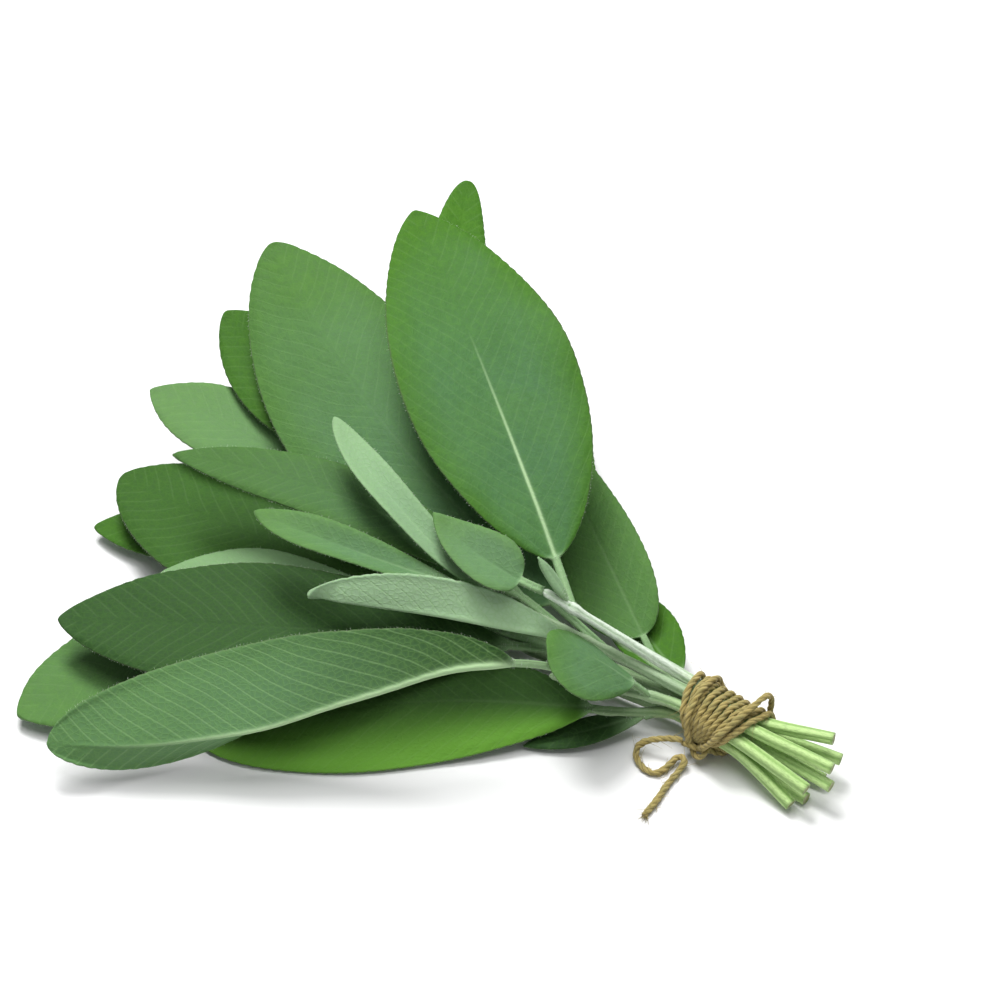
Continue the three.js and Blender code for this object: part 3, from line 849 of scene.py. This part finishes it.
def add_leaf(skins, name, seed):
    leaf = {**LEAF_DEFAULTS, **LEAVES[name]}
    u, v = leaf_grid(leaf)
    sheet, out, marks = leaf_sheet(leaf, u, v, seed)
    normal = sheet_normals(sheet, out, marks["half"])
    top, bottom, stalk = face_offsets(marks, v)
    top[:, [0, -1]] = 0
    upper = sheet + top[..., None] * normal
    lower = sheet - bottom[..., None] * normal
    for face in (upper, lower):
        face[..., 2] = np.maximum(face[..., 2], OFF_TABLE)
    rings = np.concatenate([upper, lower[:, -2:0:-1]], 1)

    def both(values):
        values = np.broadcast_to(values, sheet.shape[:2])
        return np.concatenate([values, values[:, -2:0:-1]], 1)

    under = np.zeros(rings.shape[:2])
    under[:, len(v):] = 1
    under[:, [0, len(v) - 1]] = 0.5
    woolly = np.where(marks["t"] < WOOLLY_SHARE, stalk[:, 0], 0)
    # Painted shade at the root of a leaf that another lies over.
    root_shade_mask = 1 - smooth(marks["t"] / PAINTED_ROOT_SHADE_SHARE)
    # Painted shade on the half of a leaf that another covers, added to its deep green.
    deep = (leaf["deep"] + leaf["painted_root_shade"] * both(root_shade_mask[:, None])
            + leaf["painted_side_shade"] * both(smooth(PAINTED_SIDE_SHADE_REACH - v)[None, :]))
    skins.add(rings, along=both(marks["t"][:, None]), edge=both(np.abs(v)[None, :]),
              run_mm=both(marks["run"]), beside_mm=both(marks["beside"]), under=under,
              vein=both(marks["veins"]), stalk=both(woolly[:, None]), vivid=leaf["vivid"],
              pale=leaf["pale"], fresh=leaf["fresh"], deep=deep, rib=leaf["rib"], seed=seed * 1.7)
    outward = np.concatenate([normal, -normal[:, -2:0:-1]], 1)
    draw = np.random.default_rng(seed)
    stalk_rows = np.flatnonzero(woolly > 0.5)
    down(skins, rings[stalk_rows], outward[stalk_rows],
         int(len(stalk_rows) * HAIRS_PER_STALK_ROW), draw)
    rim = np.stack([rings[:, 0], rings[:, len(v) - 1]], 1)
    sideways = unit(rim - rim[:, ::-1])
    fringe = slice(len(u) // 6, -(len(u) // 16))
    down(skins, rim[fringe], sideways[fringe], int(len(u) * HAIRS_PER_RIM_ROW), draw)


print("rows of points along the tall leaf:", len(leaf_grid({**LEAF_DEFAULTS, **LEAVES["tall"]})[0]))

# %% [markdown]
# ## One stem
#
# Sage stems are four-sided, with a ridge at each corner and a channel down each side, and a little
# thicker where leaves join. A ring whose radius rises at the four corners gives that. The cut end is
# flat with a slightly sunken pith, and the top end closes in a small bud. Stems are downy too.

# %% The stem's skin
STEM_SIDES = 32
CHANNEL = 0.17
HAIRS_PER_MM = 7
STEM_DOWN = dict(top=1.0, centre=0.3, front=0.2)
OTHER_DOWN = 0.15
STEM_STEP = 0.7
JOINT_REACH = 1.6
JOINT_SWELL = 0.2


def add_stem(skins, name, finish):
    path = even_steps(stem_route(name, np.linspace(0, 1, 500)), STEM_STEP)
    length = polyline_length(path)
    gone = np.linspace(0, length, len(path))
    t = np.linspace(0, 1, len(path))
    radius = mix(STEM_FOOT, STEM_TOP, np.clip((t - 0.4) / 0.6, 0, 1)) / 2
    for leaf in LEAVES.values():
        if leaf["stem"] == name:
            joint = np.linalg.norm(path - on_stem(name, leaf["at"]), axis=1)
            radius = radius * (1 + JOINT_SWELL * np.exp(-(joint / JOINT_REACH) ** 2))
    radius = radius * np.sqrt(np.clip(1 - ((gone - length + 1.6) / 1.75).clip(0, 1) ** 2, 0, 1))
    seed = len(name) + STEMS[name][0][0]
    angle = np.arange(STEM_SIDES) * 2 * np.pi / STEM_SIDES
    turned = angle[None, :] + 0.5 * np.sin(gone / 14 + seed)[:, None]
    corner = np.abs(np.cos(2 * turned))
    rings = tube(path, radius[:, None] * (1.03 - CHANNEL * (1 - corner) ** 1.5))
    cut = [mix(path[0], rings[0], share) + depth * unit(path[1] - path[0])
           for share, depth in ((0.12, 0.2), (0.45, 0.18), (0.72, 0.03), (0.93, 0.0))]
    pith = np.concatenate([[1, 1, 0.6, 0.25], np.zeros(len(path))])
    run = np.concatenate([np.zeros(4), gone])
    ridge = np.concatenate([corner[:1].repeat(4, 0), corner])
    skins.add(np.concatenate([np.array(cut), rings]), finish=finish, run_mm=run[:, None],
              around=np.cos(angle)[None, :], beside_mm=np.sin(angle)[None, :], ridge=ridge,
              pith=pith[:, None], pale=STEM_DOWN.get(name, OTHER_DOWN), seed=seed)
    outward = unit(rings - path[:, None])
    downy = slice(int(len(path) * 0.25), -3)
    draw = np.random.default_rng(len(path))
    down(skins, rings[downy], outward[downy], int(length * HAIRS_PER_MM), draw)


print("a stem ring has", STEM_SIDES, "points")

# %% [markdown]
# ## The finish of a leaf
#
# Sage is grey-green because short white hairs cover a deeper green. Blades turn bright towards the
# tip and edge, where the hairs wear off. The underside is paler, with raised veins. Between the
# veins the blade is pebbled in cells about a millimetre across. A painted map would have to be drawn
# for each leaf. Here one finish serves all 25, because it is worked out from the marks: distance
# along the midrib, distance beside it, vein count, and which face it is.

# %% Leaf finish
# The clear light green is painted light, and the dark green is partly painted shade.
LEAF_COLOURS = dict(
    grey_green=shade(65, 106, 60), blue_green=shade(59, 98, 69), bright=shade(52, 99, 0),
    dark_fleck=shade(46, 88, 24), light_fleck=shade(86, 132, 40), woolly=shade(162, 194, 154),
    underside=shade(94, 130, 90), fresh=shade(108, 166, 52), deep=shade(32, 66, 22),
    net=shade(116, 160, 80), side_vein=shade(146, 182, 124), rib=shade(166, 196, 148),
    stalk=shade(134, 166, 120), rim=shade(84, 84, 68))


def sage_leaf(name):
    f = Finish(name, Sheen_Weight=0.06, Sheen_Roughness=0.5, Specular_IOR_Level=0.25,
               Subsurface_Weight=0.08, Subsurface_Scale=0.001)
    f.shader.inputs["Sheen Tint"].default_value = shade(214, 232, 206)
    f.shader.inputs["Subsurface Radius"].default_value = (0.5, 1.0, 0.3)
    along, edge, under = f.mark("along"), f.mark("edge"), f.mark("under")
    run, beside, seed = f.mark("run_mm"), f.mark("beside_mm"), f.mark("seed")
    vivid, pale, stalk = f.mark("vivid"), f.mark("pale"), f.mark("stalk")
    spot = f.place(run, beside, seed)
    paint = LEAF_COLOURS
    patch = f.noise(spot, 0.07, 1.0)
    fleck = f.noise(spot, 0.55, 3.0)
    cells = f.node("ShaderNodeTexVoronoi", {"feature": "DISTANCE_TO_EDGE"},
                   {"Vector": f.place(run * 0.8, beside, seed + fleck * 0.8), "Scale": 0.95})
    pebble = f.ramp(cells, (0.0, 0), (0.12, 0.6), (0.42, 1))
    side_vein = line(to_vein(f.mark("vein")), 0.16) * f.ramp(abs(beside), (0.3, 0), (1.0, 1))
    rib = line(beside / ((1.2 - along) * (1 + 1.2 * under)), 0.32)
    rib = rib * f.ramp(along - 0.3 * under, (0.25, 1), (0.62, 0.0))

    outer = f.ramp(edge * 0.8 + 0.3 * patch - 0.1, (0.5, 0.0), (0.85, 0.9))
    tip = f.ramp(along * 0.8 + 0.3 * patch - 0.1, (0.45, 0.0), (0.82, 1.0))
    bright = vivid + (1 - vivid) * (outer + tip - outer * tip)
    colour = f.blend(f.ramp(patch, (0.38, 0.0), (0.68, 0.5)), paint["grey_green"],
                     paint["blue_green"])
    colour = f.blend(bright, colour, paint["bright"])
    colour = f.blend(f.ramp(fleck, (0.3, 0.3), (0.55, 0.0)), colour, paint["dark_fleck"])
    colour = f.blend(f.ramp(fleck, (0.5, 0.0), (0.8, 0.2)), colour, paint["light_fleck"])
    colour = f.blend(pale * 0.9, colour, paint["woolly"])
    colour = f.blend(under * (0.6 - 0.5 * pale), colour, paint["underside"])
    # Painted light: a clear light green on a leaf that should catch more light.
    colour = f.blend(f.mark("fresh"), colour, paint["fresh"])
    # Painted shade, together with a leaf's own darker green: darkened towards a dark green.
    colour = f.blend(f.mark("deep"), colour, paint["deep"])
    colour = f.blend((1 - pebble) * (0.08 + 0.1 * under), colour, paint["net"])
    colour = f.blend(side_vein * (0.05 + 0.14 * under), colour, paint["side_vein"])
    colour = f.blend(rib * (f.mark("rib") + 0.1 * under), colour, paint["rib"])
    colour = f.blend(stalk * 0.75, colour, paint["stalk"])
    colour = f.blend(f.ramp(edge, (0.975, 0.0), (1.0, 0.4)), colour, paint["rim"])
    roughness = 0.74 - 0.1 * pebble + 0.1 * fleck
    height = pebble * 0.4 + fleck * 0.25 - side_vein * (0.25 - 0.6 * under) + 0.3
    return f.surface(colour, roughness, height, 0.12 * MM)


LEAF_FINISH = sage_leaf("sage_leaf")

# %% [markdown]
# ## The finish of a stem
#
# The stems carry the whitest down, with faint streaks along them. Towards the cut end the down is
# rubbed off by tying and the green is fresher. The cut shows a damp pale pith in a green ring. Two
# finishes would meet in a hard line, so one finish fades from downy to rubbed by the distance run.

# %% Stem finish


def sage_stem(name):
    f = Finish(name, Sheen_Weight=0.35, Sheen_Roughness=0.4, Specular_IOR_Level=0.35)
    f.shader.inputs["Sheen Tint"].default_value = shade(232, 240, 226)
    run, around, seed = f.mark("run_mm"), f.mark("around"), f.mark("seed")
    ridge, pith = f.mark("ridge"), f.mark("pith")
    streak = f.noise(f.place(run * 0.08, around * 2.6, f.mark("beside_mm") * 2.6 + seed), 1.0, 3.0)
    grain = f.noise(f.place(run * 1.2, around * 6, f.mark("beside_mm") * 6 + seed), 1.0, 2.0)
    rubbed = f.ramp(run * 0.02 + streak * 0.2, (0.5, 1.0), (0.85, 0.0))
    green = f.blend(ridge * 0.7 + streak * 0.5, shade(62, 100, 46), shade(122, 154, 98))
    white = f.blend(ridge * 0.7 + streak * 0.5, shade(150, 182, 138), shade(222, 234, 218))
    downy = f.blend(f.mark("pale"), green, white)
    fresh = f.blend(ridge * 0.7 + streak * 0.5, shade(104, 148, 62), shade(190, 220, 146))
    colour = f.blend(rubbed, downy, fresh)
    colour = f.blend(f.ramp(grain, (0.3, 0.35), (0.55, 0)), colour, shade(78, 112, 56))
    colour = f.blend(f.ramp(pith, (0.2, 0), (0.5, 1)), colour, shade(134, 142, 92))
    colour = f.blend(f.ramp(pith, (0.7, 0), (1.0, 0.7)), colour, shade(180, 180, 134))
    return f.surface(colour, 0.6 + 0.15 * grain, 0.5 * streak + 0.5 * grain, 0.12 * MM)


def hair(name):
    f = Finish(name, Base_Color=shade(206, 218, 200), Roughness=0.6, Specular_IOR_Level=0.4)
    return f.material


HAIR_FINISH = hair("sage_down")
STEM_FINISH = sage_stem("sage_stem")

# %% [markdown]
# ## Grow the leafy stems
#
# On the plant a stem and its leaves are one growth, so one object stands for each leafy stem, as in
# the frame, and hides the solid of that name. Making each leaf an object would be easier to select,
# but then 25 loose leaves would have to be kept on their stems.

# %% Eight leafy stems
LEAF_MARKS = ("along", "edge", "run_mm", "beside_mm", "vein", "under", "stalk", "vivid", "pale",
              "fresh", "deep", "rib", "seed", "around", "ridge", "pith")

for stem in STEMS:
    skins = Skins(*LEAF_MARKS)
    add_stem(skins, stem, finish=1)
    for place, name in enumerate(LEAVES):
        if LEAVES[name]["stem"] == stem:
            add_leaf(skins, name, seed=place + 1)
    piece = skins.make(f"sage_{stem}", LEAF_FINISH, STEM_FINISH, HAIR_FINISH)
    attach(piece, "root")
    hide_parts(f"leafy_stem_{stem}")

# %% [markdown]
# ## The wound twine
#
# The twine lies on the stems, so each turn follows the outline of the stems where it crosses them:
# their convex hull, set off by the stems' and the twine's own radius. A circle would float off the
# flatter sides. All turns pull together at the knot and fan out over the top.

# %% Turns of twine
KNOT_ANGLE = -37
KNOT_X = 2
TURNS_X = (8.8, 6.9, 5, 3.1, 1.2, -0.7, -2.6, -4.5, -6.4, -8.3)
OVER_TURNS_X = (5.5, -6.6)
OVER_LAYER = TWINE * 0.8
MIDDLE_TURN = 3.5
KNOT_SPREAD = -0.25
OVER_KNOT_SPREAD = 0.6
SLACK = dict(turn=-6.6, angle=126, height=2.3, spread=30)
BUNDLE_CENTRE = (0.6, 7.6)
SNUG = 0.2
HULL_ANGLES = np.radians(np.arange(0, 360, 3))

stem_lines = [stem_route(name, np.linspace(0, 1, 400)) for name in STEMS]


def bundle_reach(x, angle, layer):
    """How far the twine's middle is from the bundle's centre, at an angle in radians."""
    cy, cz = BUNDLE_CENTRE
    y = np.array([np.interp(x, s[:, 0], s[:, 1]) for s in stem_lines]) - cy
    z = np.array([np.interp(x, s[:, 0], s[:, 2]) for s in stem_lines]) - cz
    support = (np.outer(np.cos(HULL_ANGLES), y) + np.outer(np.sin(HULL_ANGLES), z)).max(1)
    support += STEM_FOOT / 2 + SNUG + TWINE / 2 + layer
    facing = np.cos(angle - HULL_ANGLES)
    return (support[facing > 0.2] / facing[facing > 0.2]).min()


def round_bundle(x, degrees, layer):
    angle = np.radians(degrees)
    reach = bundle_reach(x, angle, layer)
    z = BUNDLE_CENTRE[1] + reach * np.sin(angle)
    return (x, BUNDLE_CENTRE[0] + reach * np.cos(angle), max(z, TWINE / 2 + 0.1))


def turn_path(far_x, layer, spread):
    """One closed turn: at the knot it sits a little beside the others."""
    points = []
    for sweep in np.arange(0, 360, 4):
        degrees = KNOT_ANGLE + sweep
        share = np.sin(np.radians(sweep / 2)) ** 0.8
        off = SLACK["height"] * np.exp(-((degrees - SLACK["angle"]) / SLACK["spread"]) ** 2)
        lift = layer + (off if far_x == SLACK["turn"] else 0) + 0.5 * spread * (1 - share)
        points.append(round_bundle(mix(KNOT_X + spread, far_x, share), degrees, lift))
    return np.array(points + points[:1])


turn_paths = [turn_path(x, 0, (n - MIDDLE_TURN) * KNOT_SPREAD) for n, x in enumerate(TURNS_X)]
turn_paths += [turn_path(x, OVER_LAYER, OVER_KNOT_SPREAD - n)
               for n, x in enumerate(OVER_TURNS_X)]
wound = Skins("crest", "wind_mm", "around")
for path in turn_paths:
    strand(wound, path, TWINE, looped=True)
print("turns of twine:", len(turn_paths))

# %% [markdown]
# ## The knot
#
# The knot is one more closed strand that follows a trefoil, the simplest true knot. Pulled small,
# its three crossings look like a tied lump from every side.

# %% Tie the knot
KNOT_SIZE = (0.95, 0.75, 0.75)
KNOT_STRAND = TWINE * 0.9
knot_middle = np.array(round_bundle(KNOT_X, KNOT_ANGLE, KNOT_STRAND))
s = np.linspace(0, 2 * np.pi, 160)
trefoil = np.stack([np.sin(s) + 2 * np.sin(2 * s), np.cos(s) - 2 * np.cos(2 * s),
                    -1.3 * np.sin(3 * s)], 1)
strand(wound, knot_middle + trefoil * KNOT_SIZE, KNOT_STRAND, looped=True)
wound_twine = wound.make("wound_twine", TWINE_FINISH)
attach(wound_twine, "root")
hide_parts("twine_wrap")

# %% [markdown]
# ## Stray fibres
#
# Jute sheds: fine fibres stand off every turn, and the cut tail frays into a small brush. Each is a
# thin tapered tube that curls away from the strand. They are kept apart from the strands, so the
# strands stay clean tubes.

# %% Fibres on the twine
STRAY_HALF = 0.055
FIBRES_PER_TURN = 24
FIBRES_AT_TAIL = 26
fibres = Skins("crest", "wind_mm", "around")


def stray(foot, away, reach):
    """One curled fibre from foot, first in direction away."""
    s = np.linspace(0, 1, 7)[:, None]
    curl = rng.normal(0, 0.5, 3)
    path = foot + away * reach * s + curl * reach * s ** 2 * 0.6
    path[:, 2] = np.maximum(path[:, 2], 0.08)
    thick = STRAY_HALF * (1 - 0.7 * s) * np.ones(3)
    fibres.add(tube(path, thick), crest=0.8, wind_mm=rng.uniform(0, 90), around=rng.uniform(0, 9))


for path in turn_paths + [bow_path] * 3:
    for place in rng.integers(1, len(path) - 1, FIBRES_PER_TURN):
        along = unit(path[place + 1] - path[place - 1])
        off = rng.normal(0, 1, 3)
        off = unit(off - along * (off @ along))
        stray(path[place] + off * TWINE * 0.4, unit(off * 0.6 + along * rng.choice((-1, 1))),
              rng.uniform(0.8, 3.2))
tail = unit(bow_path[-1] - bow_path[-4])
for _ in range(FIBRES_AT_TAIL):
    off = rng.normal(0, 0.35, 3)
    stray(bow_path[-1] - tail * 0.5 + off * 0.6, unit(tail + off), rng.uniform(0.9, 1.9))
twine_fibres = fibres.make("twine_fibres", TWINE_FINISH)
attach(twine_fibres, "root")

# %% [markdown]
# ## The table and the light
#
# A plain pale table under three soft lights: the room, white all round, a big panel overhead, and a
# smaller panel behind the leaf tips. A lone overhead light would hide the fan's depth. The one behind
# lays a soft shadow under each leaf and in front of the bunch.

# %% Table and lights
bpy.ops.mesh.primitive_plane_add(size=6)
table = bpy.context.object
table.name = "table"
table.data.materials.append(Finish("pale_table", Roughness=0.9, Base_Color=(0.8, 0.8, 0.8, 1),
                                   Specular_IOR_Level=0.1).material)

room = bpy.data.worlds.new("room")
bpy.context.scene.world = room
room.use_nodes = True
room.node_tree.nodes["Background"].inputs["Color"].default_value = (0.97, 0.985, 1, 1)
room.node_tree.nodes["Background"].inputs["Strength"].default_value = 0.28


def soft_panel(name, place, size, watts):
    """A round panel of light that faces the middle of the table."""
    panel = bpy.data.objects.new(name, bpy.data.lights.new(name, "AREA"))
    panel.data.shape = "DISK"
    panel.data.size = size
    panel.data.energy = watts
    panel.location = place
    panel.rotation_euler = (-Vector(place)).to_track_quat("-Z", "Y").to_euler()
    bpy.context.scene.collection.objects.link(panel)


soft_panel("overhead", (-0.02, 0.04, 0.88), 0.6, 5.0)
soft_panel("behind", (0.28, -0.12, 0.72), 0.28, 5.4)
bpy.context.scene.view_settings.view_transform = "Standard"
print("lights: the room,", [light.name for light in bpy.data.lights])
